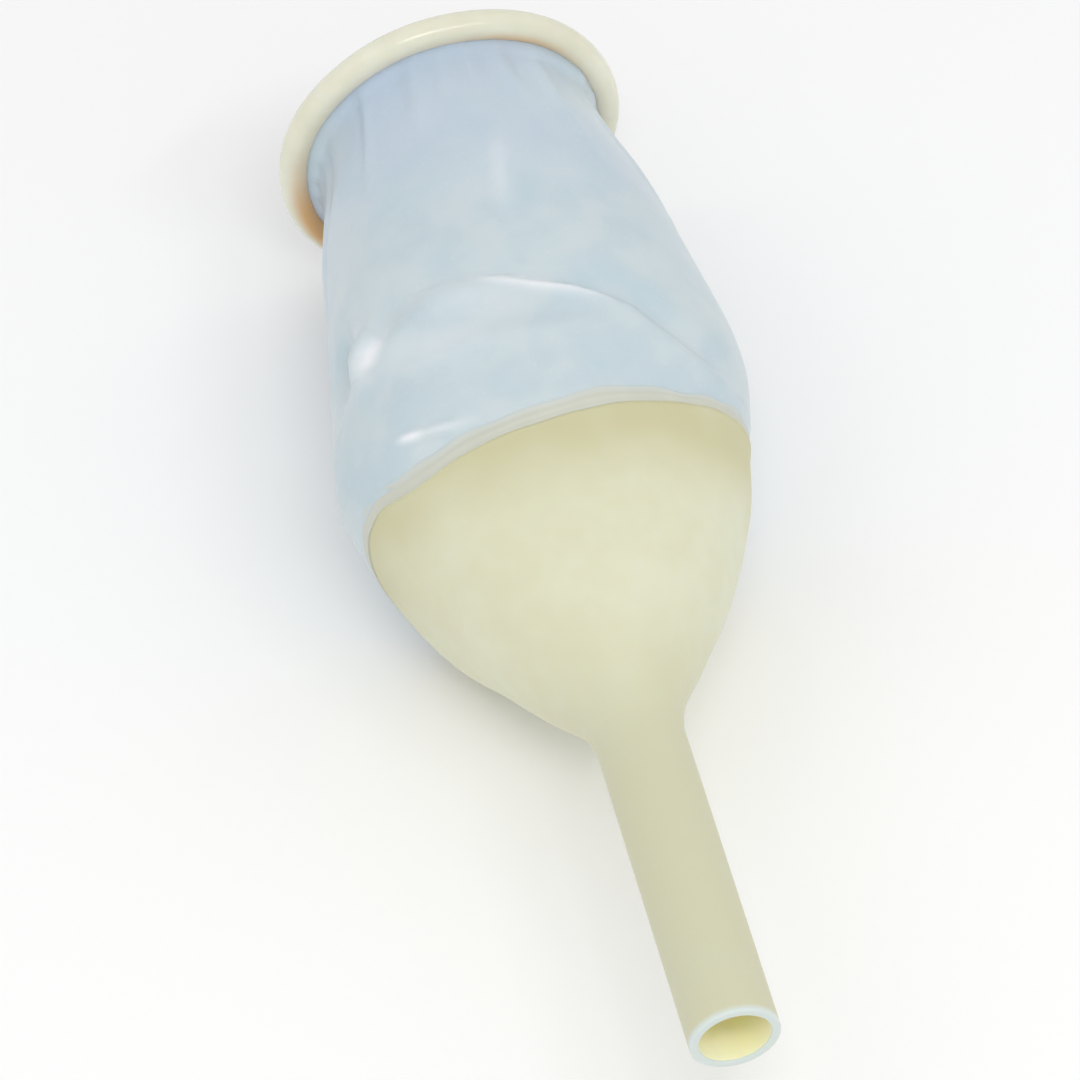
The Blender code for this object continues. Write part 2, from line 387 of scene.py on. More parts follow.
def make_film(name, thin, dense, roughness, softness, depth):
    material, tree, shader, place = new_material(name)
    cloud = add_node(tree, "ShaderNodeTexNoise", None,
                     {"Vector": place, "Scale": 1.0 / CLOUD_SIZE, "Detail": 2.0}).outputs["Fac"]
    patch = add_node(tree, "ShaderNodeTexNoise", None,
                     {"Vector": place, "Scale": 1.0 / PATCH_SIZE, "Detail": 0.0}).outputs["Fac"]
    speckle = add_node(tree, "ShaderNodeTexNoise", None,
                       {"Vector": place, "Scale": 1.0 / SPECKLE_SIZE, "Detail": 2.0}).outputs["Fac"]
    along = add_node(tree, "ShaderNodeSeparateXYZ", None, {"Vector": place}).outputs["Y"]
    cloudy = add_node(tree, "ShaderNodeMapRange", SMOOTH, {"Value": cloud, **CLOUD_RANGE})
    body = add_node(tree, "ShaderNodeMix", COLOURS,
                    {0: cloudy.outputs[0], 6: linear(thin), 7: linear(dense)})
    far = add_node(tree, "ShaderNodeMapRange", SMOOTH, {"Value": along, **BLUE_RANGE})
    patchy = add_node(tree, "ShaderNodeMapRange", SMOOTH, {"Value": patch, **PATCH_RANGE})
    near_rim = add_node(tree, "ShaderNodeMath", MULTIPLY, {0: far.outputs[0], 1: patchy.outputs[0]})
    blue = add_node(tree, "ShaderNodeMix", COLOURS,
                    {0: near_rim.outputs[0], 6: body.outputs[2], 7: linear("#b9c8da")})
    # `paint` holds painted highlights, white laid along crests of the creases; the grains are real powder
    painted_highlight = add_node(tree, "ShaderNodeAttribute", {"attribute_name": "paint"}).outputs["Fac"]
    grains = add_node(tree, "ShaderNodeMapRange", SMOOTH, {"Value": speckle, **SPECKLE_RANGE})
    whitening = add_node(tree, "ShaderNodeMath", {"operation": "MULTIPLY_ADD", "use_clamp": True},
                      {0: grains.outputs[0], 1: SPECKLE_SHARE, 2: painted_highlight})
    dusted_and_highlit = add_node(tree, "ShaderNodeMix", COLOURS,
                      {0: whitening.outputs[0], 6: blue.outputs[2], 7: linear("#f6f8fd")})
    gloss = add_node(tree, "ShaderNodeMapRange", None,
                     {"Value": cloud, "To Min": roughness - FILM_GLOSS_SPREAD,
                      "To Max": roughness + FILM_GLOSS_SPREAD})
    bump = add_node(tree, "ShaderNodeBump", None,
                    {"Height": speckle, "Distance": SPECKLE_BUMP, "Strength": BUMP_STRENGTH})
    set_surface(tree, shader, dusted_and_highlit.outputs[2], gloss, bump)
    set_depth(shader, softness, FILM_SCATTER, depth)
    return material


film_latex = make_film("Latex film, dipped, powdered, with painted highlights", "#bdced5", "#cad5d9",
                       roughness=0.31, softness=0.2, depth=0.5 * MM)
# Painted paler as if lit through the wall; the scatter lets light in where `lit` says that the wall is
# free
inner_film_painted_lit = make_film("Latex film, dipped, inner side", "#f0f5f7", "#f6f9fa",
                             roughness=0.6, softness=1.0, depth=1.5 * MM)
inner_tree = inner_film_painted_lit.node_tree
lit = add_node(inner_tree, "ShaderNodeAttribute", {"attribute_name": "lit"}).outputs["Fac"]
inner_tree.links.new(lit, inner_tree.nodes["Principled BSDF"].inputs["Subsurface Weight"])
print("made", film_latex.name, "and", inner_film_painted_lit.name)

# %% [markdown]
# The thicker pieces show the cream of natural latex.  It is soft to the eye, since light goes a
# millimetre into it, and its colour drifts a little as the dip runs off the former.  One flat colour
# would look like plastic.  This function makes what all cream pieces share, and hands back its colour so
# that each piece can add its own marks.

# %% Cream latex
DRIFT_SIZE = 14.0 * MM
MOTTLE_SIZE = 2.5 * MM
MOTTLE_SHARE = 0.4
CREAM_RANGE = {"From Min": 0.45, "From Max": 0.95}
# The dipped skin's pores are far finer; this size is the smallest that shows
GRAIN_SIZE = 0.7 * MM
GRAIN_BUMP = 0.04 * MM
GLOSS_SPREAD = 0.07
CREAM_SCATTER = (1.0, 0.85, 0.55)
CREAM_DEPTH = 1.2 * MM


def make_cream(name, pale, deep, roughness, softness):
    material, tree, shader, place = new_material(name)
    drift = add_node(tree, "ShaderNodeTexNoise", None,
                     {"Vector": place, "Scale": 1.0 / DRIFT_SIZE, "Detail": 1.0}).outputs["Fac"]
    mottle = add_node(tree, "ShaderNodeTexNoise", None,
                      {"Vector": place, "Scale": 1.0 / MOTTLE_SIZE, "Detail": 1.0}).outputs["Fac"]
    grain = add_node(tree, "ShaderNodeTexNoise", None,
                     {"Vector": place, "Scale": 1.0 / GRAIN_SIZE, "Detail": 3.0}).outputs["Fac"]
    blend = add_node(tree, "ShaderNodeMath", {"operation": "MULTIPLY_ADD"},
                     {0: mottle, 1: MOTTLE_SHARE, 2: drift})
    share = add_node(tree, "ShaderNodeMapRange", SMOOTH, {"Value": blend.outputs[0], **CREAM_RANGE})
    colour = add_node(tree, "ShaderNodeMix", COLOURS,
                      {0: share.outputs[0], 6: linear(pale), 7: linear(deep)}).outputs[2]
    gloss = add_node(tree, "ShaderNodeMapRange", None,
                     {"Value": drift, "To Min": roughness - GLOSS_SPREAD,
                      "To Max": roughness + GLOSS_SPREAD})
    bump = add_node(tree, "ShaderNodeBump", None,
                    {"Height": grain, "Distance": GRAIN_BUMP, "Strength": BUMP_STRENGTH})
    set_surface(tree, shader, colour, gloss, bump)
    set_depth(shader, softness, CREAM_SCATTER, CREAM_DEPTH)
    return material, tree, shader, place, colour


print("cream latex is ready for its pieces")

# %% [markdown]
# The funnel's latex is darker and warmer in patches beside the seam, and a shade deeper along the thick
# tube.  At the cut end it is painted whiter: a painted highlight on the rim of the cut.  The bore is
# painted brighter and yellower, as painted light that has passed through more latex to reach it, and the
# inside of the thin flare is painted paler, as light through the wall.  The tints could be painted by
# hand; as ranges along Y they stay in place when a size changes.

# %% Dipped funnel latex, its bore and the inside of its flare
TINT_PATCH_SIZE = 10.0 * MM
TINT_RANGE = {"From Min": 0.2, "From Max": 0.6, "To Min": 0.45}
SEAM_TINT_LENGTH = 9.0 * MM
SEAM_TINT = {"From Min": SEAM_Y - SEAM_TINT_LENGTH, "From Max": SEAM_Y}
TUBE_SHADE = {"From Min": SEAM_Y - 0.5 * FUNNEL_LENGTH, "From Max": SEAM_Y - 1.3 * FUNNEL_LENGTH}
# Over the last millimetre of the tube a painted highlight whitens the rim of the cut
CUT_END_HIGHLIGHT = {"From Min": TUBE_END_Y + 0.9 * MM, "From Max": TUBE_END_Y + 0.1 * MM}


def make_funnel_latex():
    material, tree, shader, place, colour = make_cream(
        "Natural latex, dipped thick", "#dddec5", "#d8d7ba", roughness=0.5, softness=0.35)
    along = add_node(tree, "ShaderNodeSeparateXYZ", None, {"Vector": place}).outputs["Y"]
    patch = add_node(tree, "ShaderNodeTexNoise", None,
                     {"Vector": place, "Scale": 1.0 / TINT_PATCH_SIZE, "Detail": 1.0}).outputs["Fac"]
    edge = add_node(tree, "ShaderNodeMapRange", SMOOTH, {"Value": along, **SEAM_TINT})
    patchy = add_node(tree, "ShaderNodeMapRange", SMOOTH, {"Value": patch, **TINT_RANGE})
    tint = add_node(tree, "ShaderNodeMath", MULTIPLY, {0: edge.outputs[0], 1: patchy.outputs[0]})
    warm = add_node(tree, "ShaderNodeMix", COLOURS,
                    {0: tint.outputs[0], 6: colour, 7: linear("#ccc79e")})
    tube = add_node(tree, "ShaderNodeMapRange", SMOOTH, {"Value": along, **TUBE_SHADE})
    tube_colour = add_node(tree, "ShaderNodeMix", COLOURS,
                           {0: patchy.outputs[0], 6: linear("#cccdb2"), 7: linear("#cdccae")})
    body = add_node(tree, "ShaderNodeMix", COLOURS,
                    {0: tube.outputs[0], 6: warm.outputs[2], 7: tube_colour.outputs[2]})
    # Painted highlight on the rim of the cut end
    cut_highlight = add_node(tree, "ShaderNodeMapRange", SMOOTH, {"Value": along, **CUT_END_HIGHLIGHT})
    whole = add_node(tree, "ShaderNodeMix", COLOURS,
                     {0: cut_highlight.outputs[0], 6: body.outputs[2], 7: linear("#d2dcd9")})
    tree.links.new(whole.outputs[2], shader.inputs["Base Color"])
    return material


funnel_latex = make_funnel_latex()
# The bore and the inside of the flare are painted lighter than the funnel, as painted light through the
# wall
bore_latex_painted_lit = make_cream("Natural latex, dipped, bore side", "#fff8dc", "#fcf3cc",
                        roughness=0.5, softness=1.0)[0]
flare_inside_painted_lit = make_cream("Natural latex, dipped, inside of the flare", "#f7f6ee", "#f3f2e6",
                         roughness=0.55, softness=0.8)[0]
print("made", funnel_latex.name, bore_latex_painted_lit.name, "and", flare_inside_painted_lit.name)

# %% [markdown]
# The rim is the same film rolled up into many turns.  Each turn could be drawn, but one is thinner than a
# pixel.  Stacked turns look cream, with the wet gloss of a tight roll.  Where `paint` says so, deep in the
# roll on the film side, amber is painted shade: the warm shade in the crevice between the roll and the
# film.

# %% Rolled latex film
def make_roll_latex():
    material, tree, shader, _, colour = make_cream(
        "Latex film, rolled into a bead, with painted crevice shade", "#e6e6d7", "#dddcc8", roughness=0.2, softness=0.7)
    # `paint` holds painted shade: amber for the warm shade in the crevice between the roll and the film
    deep = add_node(tree, "ShaderNodeAttribute", {"attribute_name": "paint"}).outputs["Fac"]
    crevice_shade = add_node(tree, "ShaderNodeMix", COLOURS, {0: deep, 6: colour, 7: linear("#e2b67e")})
    tree.links.new(crevice_shade.outputs[2], shader.inputs["Base Color"])
    return material


roll_latex = make_roll_latex()
print("made", roll_latex.name)

# %% [markdown]
# Latex cement is brushed along the funnel's edge and dries to a pale, satin, slightly uneven line.  It is
# too thin for light to spread inside it, so its softness is zero.  Where `paint` says that it is thin,
# the film's colour shows through.  See-through cement would do the same, but a mix of colours is simpler.

# %% Dried latex cement
def make_cement():
    material, tree, shader, _, colour = make_cream(
        "Latex cement, brushed and dried", "#cccdc1", "#c4c6b9", roughness=0.45, softness=0.0)
    thick = add_node(tree, "ShaderNodeAttribute", {"attribute_name": "paint"}).outputs["Fac"]
    feathered = add_node(tree, "ShaderNodeMix", COLOURS,
                         {0: thick, 6: linear("#c3d1d7"), 7: colour})
    tree.links.new(feathered.outputs[2], shader.inputs["Base Color"])
    return material


cement = make_cement()
print("made", cement.name)

# %% [markdown]
# A dipped wall is never perfectly even: the flare swells a little here and there, and its edge runs in
# slow waves of a few tenths of a millimetre.  Random noise could do it, but waves that go round the body
# a whole number of times close without a step.

# %% Uneven latex
UNEVEN = 0.12 * MM
EDGE_WAVE = 0.14 * MM
UNEVEN_RISE = (-FUNNEL_LENGTH, -0.4 * FUNNEL_LENGTH)
# A row of ripples: how many go round the body, where they start, their drift along Y, their share
FUNNEL_RIPPLES = [(3.0, 0.7, 90.0, 1.0), (5.0, 2.0, -140.0, 0.6)]
EDGE_RIPPLES = [(4.0, 1.0, 0.0, 1.0), (9.0, 2.5, 0.0, 0.6), (21.0, 0.0, 0.0, 0.3)]


def ripples(y, angle, rows):
    return sum(share * np.sin(count * angle + start + drift * y) for count, start, drift, share in rows)


def funnel_relief(y, angle):
    return UNEVEN * ripples(y, angle, FUNNEL_RIPPLES) * ease(y, *UNEVEN_RISE) * clear_of_floor(angle)


def edge_wave(y, angle):
    return EDGE_WAVE * ripples(y, angle, EDGE_RIPPLES) * ease(y, -LAP, 0.0)


print("ripples of", EDGE_WAVE / MM, "mm along the edge and", UNEVEN / MM, "mm over the flare")

# %% [markdown]
# The funnel's skin runs along the outside from the tube's end to the seam and back along the bore.  A
# Solidify modifier could give the wall, but this wall is thinner at the seam than at the tube.  The bore
# and the inside of the flare get latexes of their own, painted brighter as if lit through the wall.

# %% Funnel and outlet tube
CUT_EDGE = 0.18 * MM
FINE_EDGE = 0.12 * MM
FUNNEL_STEPS = 160
EDGE_ROWS = 5
FLARE_ROWS = 72
TUBE_ROWS = 24
BORE_SIDE = 1
FLARE_INSIDE = 2


def make_funnel():
    turns = np.linspace(0.0, 0.5 * math.pi, EDGE_ROWS)
    flare = np.linspace(-FUNNEL_LENGTH - NECK_FILLET, -FINE_EDGE, FLARE_ROWS)
    tube_end = TUBE_END_Y - SEAM_Y
    straight = np.linspace(tube_end + CUT_EDGE, flare[0], TUBE_ROWS)[1:-1]
    bore = TUBE_RADIUS - TUBE_WALL
    sines = CUT_EDGE * np.sin(turns)
    ends = tube_end + CUT_EDGE - CUT_EDGE * np.cos(turns)
    profile = [(TUBE_RADIUS - CUT_EDGE + sine, end) for sine, end in zip(sines, ends)]
    profile += [(TUBE_RADIUS, y) for y in straight]
    profile += [(float(funnel_radius(y)), y) for y in flare]
    drops = FINE_EDGE * (1.0 - np.cos(turns))
    reaches = FINE_EDGE * np.sin(turns) - FINE_EDGE
    profile += [(FUNNEL_RADIUS - drop, reach) for drop, reach in zip(drops, reaches)]
    outside = len(profile)
    profile += [(float(funnel_radius(y) - funnel_wall(y)), y) for y in flare[::-1]]
    flare_end = len(profile)
    profile += [(bore, y) for y in straight[::-1]]
    inside_end = len(profile)
    profile += [(bore + CUT_EDGE - sine, end) for sine, end in zip(sines[::-1], ends[::-1])]
    skin = turned_skin("funnel_skin", profile, FUNNEL_STEPS, funnel_latex, funnel_relief, edge_wave)
    skin.data.materials.append(bore_latex_painted_lit)
    skin.data.materials.append(flare_inside_painted_lit)
    for face in skin.data.polygons:
        ring = min(face.vertices) // FUNNEL_STEPS
        if outside <= ring < flare_end:
            face.material_index = FLARE_INSIDE
        elif flare_end <= ring < inside_end:
            face.material_index = BORE_SIDE
    return skin


funnel = make_funnel()
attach(funnel, "catheter")
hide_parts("funnel")

# %% [markdown]
# Slack film falls into creases.  A sculpt would be the quick way, but listed lines can be read and
# moved.  A line has stations of (share of the way from seam to rim, degrees round the body as it lies).
# `stroke` measures, for every point, how far it is from such a line, and fades towards the line's ends.

# %% Lines on the film
# Lines are measured in plain millimetres, round a body of this radius
CREASE_RADIUS = 19.0
# A line's fade stops this share short of its ends
LINE_END = 0.03


def on_film(y, angle):
    """Where points of the film lie, in millimetres from the seam and millimetres round the body."""
    radius = film_radius(y)
    lying_x, lying_y, lying_z = settle(radius * np.cos(angle), y, radius * np.sin(angle))
    turn = np.arctan2(lying_z - AXIS_HEIGHT, lying_x)
    turn = np.where(turn < -0.5 * math.pi, turn + 2.0 * math.pi, turn)
    return (lying_y - SEAM_Y) / MM, turn * CREASE_RADIUS


def stroke(along, across, line):
    """Distance from a line, which side of it a point is on, and a fade towards the line's ends."""
    nearest = np.full(along.shape, np.inf)
    side = np.zeros_like(along)
    arc = np.zeros_like(along)
    done = 0.0
    stations = [(share * FILM_LENGTH / MM, math.radians(turn) * CREASE_RADIUS) for share, turn in line]
    for (y0, x0), (y1, x1) in zip(stations, stations[1:]):
        length = math.hypot(y1 - y0, x1 - x0)
        uy = (y1 - y0) / length
        ux = (x1 - x0) / length
        reach = np.clip((along - y0) * uy + (across - x0) * ux, 0.0, length)
        dy = along - y0 - reach * uy
        dx = across - x0 - reach * ux
        away = np.hypot(dy, dx)
        closer = away < nearest
        nearest = np.where(closer, away, nearest)
        side = np.where(closer, np.sign(ux * dy - uy * dx), side)
        arc = np.where(closer, done + reach, arc)
        done += length
    fade = np.sqrt(np.sin(math.pi * np.clip(arc / done, LINE_END, 1.0 - LINE_END)))
    return nearest, side, fade


print("lines are measured round a body of radius", CREASE_RADIUS, "mm")

# %% [markdown]
# Each crease is a line with a width, a ridge height and a fold height in millimetres.  Drawn from high to
# low degrees, a fold lifts the film on its seam side and drops it on its rim side.  The biggest is the
# arch where the film leaves the dome that the funnel holds up.  Painted highlights are lines with a width
# and a share, where white is painted on the film as a highlight along a crest.

# %% Lines of the creases and of the painted highlights
ARCH_LEFT = [(0.24, 164), (0.29, 152), (0.333, 134), (0.35, 118), (0.345, 106)]
ARCH_CREST = [(0.36, 118), (0.345, 107), (0.305, 90), (0.275, 70), (0.255, 60)]
ARCH_RIDGE = [(0.335, 106), (0.30, 90), (0.265, 72), (0.24, 60)]
ARCH_RIGHT = [(0.285, 72), (0.245, 57), (0.20, 48), (0.158, 36), (0.12, 18)]
TENT_CREST = [(0.37, 146), (0.325, 153), (0.27, 155)]
TENT_HOLLOW = [(0.46, 157), (0.37, 160), (0.28, 168)]
DOME_PULL = [(0.25, 148), (0.205, 118), (0.20, 73)]
SEAM_PULL = [(0.085, 150), (0.066, 138), (0.05, 126)]
SLACK = [(0.50, 91), (0.60, 89), (0.70, 85)]
CREASES = [
    (ARCH_LEFT, 2.6, 0.2, 1.1),
    (ARCH_CREST, 1.9, 0.1, 0.8),
    (ARCH_RIDGE, 0.9, 0.5, 0.15),
    (ARCH_RIGHT, 1.8, -0.25, 1.15),
    (TENT_CREST, 1.3, 1.5, 0.0),
    (TENT_HOLLOW, 1.4, -1.0, 0.0),
    (DOME_PULL, 1.6, 0.55, 0.3),
    (SEAM_PULL, 0.7, 0.55, 0.3),
    (SLACK, 1.2, 0.4, 0.3),
    ([(0.73, 137), (0.86, 133), (0.97, 130)], 1.0, 0.25, 0.5),
    ([(0.78, 112), (0.97, 107)], 1.3, 0.3, 0.2),
    ([(0.80, 70), (0.97, 74)], 1.5, 0.25, 0.2),
    ([(0.70, 52), (0.95, 58)], 1.5, 0.3, 0.3),
    ([(0.62, 15), (0.78, 24), (0.95, 30)], 1.4, 0.35, 0.25),
    ([(0.55, 172), (0.75, 166), (0.96, 160)], 1.4, -0.35, 0.2),
    ([(0.30, 205), (0.55, 214), (0.90, 210)], 2.0, -0.4, 0.3),
    ([(0.25, -20), (0.45, -32), (0.85, -28)], 2.0, -0.4, 0.3),
]
# Painted highlights: stations, width and share of the white painted along crests
PAINTED_HIGHLIGHTS = [
    ([(0.323, 142), (0.30, 147), (0.272, 150)], 1.4, 1.0),
    ([(0.345, 108), (0.30, 89), (0.256, 66)], 0.8, 0.74),
    ([(0.27, 146), (0.235, 130), (0.215, 105)], 1.8, 0.25),
    ([(0.34, 126), (0.31, 112), (0.27, 100)], 2.6, 0.18),
    ([(0.082, 147), (0.073, 143), (0.067, 139)], 0.5, 0.85),
    ([(0.072, 142), (0.058, 132), (0.052, 122)], 0.5, 0.3),
    (SLACK, 1.2, 0.22),
]
print(len(CREASES), "creases and", len(PAINTED_HIGHLIGHTS), "powder strokes")

# %% [markdown]
# The film's relief is the sum of its creases, a slow unevenness, shallow gathers where it runs into the
# roll, and a tuck on the left before the roll.  A displacement map could hold all that, but here the
# seam, the roll and the floor can keep the film even where they hold it.

# %% Relief and painted highlights of the film
SLOW_WAVE = 0.18 * MM
FILM_RIPPLES = [(2.0, 1.0, 120.0, 1.0), (5.0, 0.0, -170.0, 0.7)]
GATHER = 0.1 * MM
GATHER_COUNT = 23.0
GATHER_SWAY = 3.0
GATHER_SWAY_COUNT = 4.0
GATHER_RISE = (0.8 * FILM_LENGTH, 0.97 * FILM_LENGTH)
SIDE_TUCK = 1.3 * MM
TUCK_TURN = math.radians(185.0)
TUCK_SPREAD = math.radians(38.0)
TUCK_RISE = (0.7 * FILM_LENGTH, 0.95 * FILM_LENGTH)
FREE_RISE = (0.0, 0.06 * FILM_LENGTH)
ROLL_HOLD = (0.96 * FILM_LENGTH, 0.995 * FILM_LENGTH)


def bell(value, middle, spread):
    return np.exp(-((value - middle) / spread) ** 2)


def film_relief(y, angle):
    along, across = on_film(y, angle)
    height = np.zeros_like(y)
    for line, width, ridge, fold in CREASES:
        distance, side, fade = stroke(along, across, line)
        share = distance / width
        height = height + (ridge + fold * side * share) * bell(share, 0.0, 1.0) * fade * MM
    slow = SLOW_WAVE * ripples(y, angle, FILM_RIPPLES)
    sway = GATHER_SWAY * np.sin(GATHER_SWAY_COUNT * angle)
    gathers = GATHER * np.sin(GATHER_COUNT * angle + sway) * ease(y, *GATHER_RISE)
    tuck = SIDE_TUCK * bell(angle, TUCK_TURN, TUCK_SPREAD) * ease(y, *TUCK_RISE)
    free = ease(y, *FREE_RISE)
    held = 1.0 - ease(y, *ROLL_HOLD)
    return ((slow + gathers) * free + height - tuck) * held * clear_of_floor(angle)


# White painted along crests as highlights, up to each line's share
def film_painted_highlights(y, angle, radius):
    along, across = on_film(y, angle)
    whitening = np.zeros_like(y)
    for line, width, share in PAINTED_HIGHLIGHTS:
        distance, _, fade = stroke(along, across, line)
        whitening = np.maximum(whitening, share * fade * bell(distance, 0.0, width))
    return whitening


print("the film is tucked in by", SIDE_TUCK / MM, "mm before the roll")

# %% [markdown]
# The film's skin has an outside and an inside with a thin wall between.  One sheet would be lighter, but
# the open mouth shows both sides, and the inner side has a latex of its own, painted paler as if lit
# through the wall.  The rows are close together, so that a crease about a millimetre wide still comes
# out round.

# %% Film
FILM_WALL = 0.2 * MM
FILM_STEPS = 300
LAP_ROWS = 9
FREE_ROWS = 160
INNER_SIDE = 1
RESTING_HEIGHT = 3.0 * MM
LIGHT_EDGE = 1.0 * MM
LIGHT_THROUGH = 0.9


def let_light_in(skin, places):
    """Marks the free wall, which takes light from outside; the lap and the resting underside do not."""
    points = np.empty(3 * len(skin.data.vertices))
    skin.data.vertices.foreach_get("co", points)
    free = np.repeat(ease(places, 0.0, LIGHT_EDGE), FILM_STEPS)
    free = free * ease(points[2::3], 0.0, RESTING_HEIGHT)
    lit_share = skin.data.attributes.new("lit", "FLOAT", "POINT")
    lit_share.data.foreach_set("value", LIGHT_THROUGH * free)


def make_film_skin():
    lapped = np.linspace(-LAP, 0.0, LAP_ROWS)
    free = np.linspace(0.0, FILM_LENGTH, FREE_ROWS)[1:]
    length = np.concatenate([lapped, free])
    profile = [(float(film_radius(y)), y) for y in length]
    profile += [(float(film_radius(y)) - FILM_WALL, y) for y in length[::-1]]
    skin = turned_skin("sheath_film", profile, FILM_STEPS, film_latex, film_relief, None, film_painted_highlights)
    skin.data.materials.append(inner_film_painted_lit)
    for face in skin.data.polygons:
        if min(face.vertices) // FILM_STEPS >= len(length):
            face.material_index = INNER_SIDE
    let_light_in(skin, np.concatenate([length, length[::-1]]))
    return skin


film = make_film_skin()
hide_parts("sheath")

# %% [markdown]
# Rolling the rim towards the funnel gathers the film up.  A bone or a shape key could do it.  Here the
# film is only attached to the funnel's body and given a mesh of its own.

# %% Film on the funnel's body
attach(film, "catheter")
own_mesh(film)

# %% [markdown]
# The cement starts at the funnel's edge and is brushed out over the film.  It is wider on one side than
# on the other, lies down on the creases and thins out to nothing.  A bevelled curve would be the quick
# way, but would not follow the film.

# %% Where the cement lies
BAND_START = -0.1 * MM
BAND_WIDTH = 2.3 * MM
WIDER_SHARE = 0.35
WIDER_TURN = math.radians(160.0)
BAND_RIPPLES = [(6.0, 0.0, 0.0, 0.12), (19.0, 0.0, 0.0, 0.08)]
# The cement thins out from this share of its width on
FEATHER_START = 0.4


def band_shift(y, angle):
    wider = WIDER_SHARE * np.cos(angle - WIDER_TURN) + ripples(y, angle, BAND_RIPPLES)
    return edge_wave(np.zeros_like(y), angle) + (y - BAND_START) * wider


def band_share(y):
    return (y - BAND_START) / BAND_WIDTH


def band_relief(y, angle):
    """Keeps the band's far side down on the film, creases and all."""
    moved = y + band_shift(y, angle)
    return band_share(y) * (film_radius(moved) - film_radius(y) + film_relief(moved, angle))


def band_paint(y, angle, radius):
    return 1.0 - ease(band_share(y), FEATHER_START, 1.0)


print("the cement is", BAND_WIDTH / MM, "mm wide before it is brushed wider or narrower")

# %% [markdown]
# The section of the cement fills the step from the funnel's edge down to the film, like a fillet of glue,
# and keeps the fine lines of the brush.  The lines could be bump in the material, but ridges in the mesh
# also show in its outline.

# %% Cement band
BAND_FILLET = 0.28 * MM
BAND_SINK = 0.03 * MM
BAND_CROWN = 0.05 * MM
BAND_DEPTH = 0.15 * MM
BRUSH_LINE = 0.05 * MM
BRUSH_LINES = 3
BAND_STEPS = 200
BAND_ROWS = 25


def make_band():
    shares = np.linspace(0.0, 1.0, BAND_ROWS)
    across = BAND_START + BAND_WIDTH * shares
    brushed = BRUSH_LINE * (np.cos(2.0 * math.pi * BRUSH_LINES * shares) + 1.0)
    height = BAND_FILLET * (1.0 - shares) ** 2 + brushed
    height = height + BAND_CROWN * np.sin(math.pi * shares) - (2.0 * BRUSH_LINE + BAND_SINK) * shares
    surface = film_radius(across)
    profile = list(zip(surface + height, across))
    profile += list(zip(surface[::-1] - BAND_DEPTH, across[::-1]))
    return turned_skin("cement_band", profile, BAND_STEPS, cement, band_relief, band_shift, band_paint)


band = make_band()
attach(band, "catheter")
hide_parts("bond_band")

# %% [markdown]
# The roll's section is a spiral: its radius shrinks a little over one turn and steps back where the
# film's outer turn begins, on the mouth side.  A plain torus would be the quick way, but would lose that
# lip.  Its paint marks amber painted shade in the crevice on the film side, strongest low on the left.

# %% Rolled rim
ROLL_STEP = 0.1 * MM
ROLL_UNEVEN = 0.05 * MM
ROLL_RIPPLES = [(3.0, 0.4, 0.0, 1.0), (7.0, 1.1, 0.0, 0.7)]
LIP_TURN = math.radians(75.0)
ROLL_STEPS = 240
ROLL_ROWS = 40
# Middle and spread, round the rim, of the two places where the painted amber shade is strong
LOW_LEFT = (math.radians(205.0), math.radians(28.0))
TOP_RIGHT = (math.radians(62.0), math.radians(22.0))
# Depth in the roll, from -1 outside to 1 inside, over which the painted amber shade comes up
LOW_DEPTH = (-0.85, 0.0)
FOLD_DEPTH = (-0.4, 0.4)
FOLD_PAINTED_SHADE = 0.12
TOP_PAINTED_SHADE = 0.6


def roll_uneven(y, angle):
    return ROLL_UNEVEN * ripples(y, angle, ROLL_RIPPLES)


# Painted amber shade, deep in the roll on the film side, strongest low on the left and top right
def roll_painted_shade(y, angle, radius):
    deep = (RING_RADIUS - radius) / ROLL_RADIUS
    film_side = ease(FILM_LENGTH - y, 0.0, 0.5 * ROLL_RADIUS)
    low = ease(deep, *LOW_DEPTH) * bell(angle, *LOW_LEFT)
    fold = ease(deep, *FOLD_DEPTH) * (FOLD_PAINTED_SHADE + TOP_PAINTED_SHADE * bell(angle, *TOP_RIGHT))
    return film_side * (low + fold)


def make_roll():
    profile = []
    for turn in np.linspace(0.0, 2.0 * math.pi, ROLL_ROWS, endpoint=False):
        share = ((turn - LIP_TURN) % (2.0 * math.pi)) / (2.0 * math.pi)
        section = ROLL_RADIUS - ROLL_STEP * (1.0 - share)
        radius = RING_RADIUS + section * math.cos(turn)
        profile.append((radius, FILM_LENGTH + section * math.sin(turn)))
    return turned_skin("rolled_rim_bead", profile, ROLL_STEPS, roll_latex, roll_uneven, None, roll_painted_shade)


roll = make_roll()
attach(roll, "rim")
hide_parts("rolled_rim")

# %% [markdown]
# The object lies on a white table top.  A curved backdrop could be used, but a wide flat floor gives the
# same white from every side.  It stops just under the object, so that no two faces share a place, and it
# is dull, so that it takes a soft shadow and no mirror image.

# %% Floor
FLOOR_REACH = 3.0
FLOOR_DROP = 0.2 * MM
FLOOR_ROUGHNESS = 0.7
FLOOR_SHINE = 0.1


def make_floor():
    corners = [(-1, -1), (1, -1), (1, 1), (-1, 1)]
    mesh = bpy.data.meshes.new("floor")
    points = [(FLOOR_REACH * x, FLOOR_REACH * y, -FLOOR_DROP) for x, y in corners]
    mesh.from_pydata(points, [], [(0, 1, 2, 3)])
    floor = bpy.data.objects.new("floor", mesh)
    bpy.context.collection.objects.link(floor)
    material, _, shader, _ = new_material("White laminate, matt")
    shader.inputs["Base Color"].default_value = linear("#fbfbfb")
    shader.inputs["Roughness"].default_value = FLOOR_ROUGHNESS
    shader.inputs["Specular IOR Level"].default_value = FLOOR_SHINE
    mesh.materials.append(material)


make_floor()
print("floor", FLOOR_DROP / MM, "mm below the lowest point")

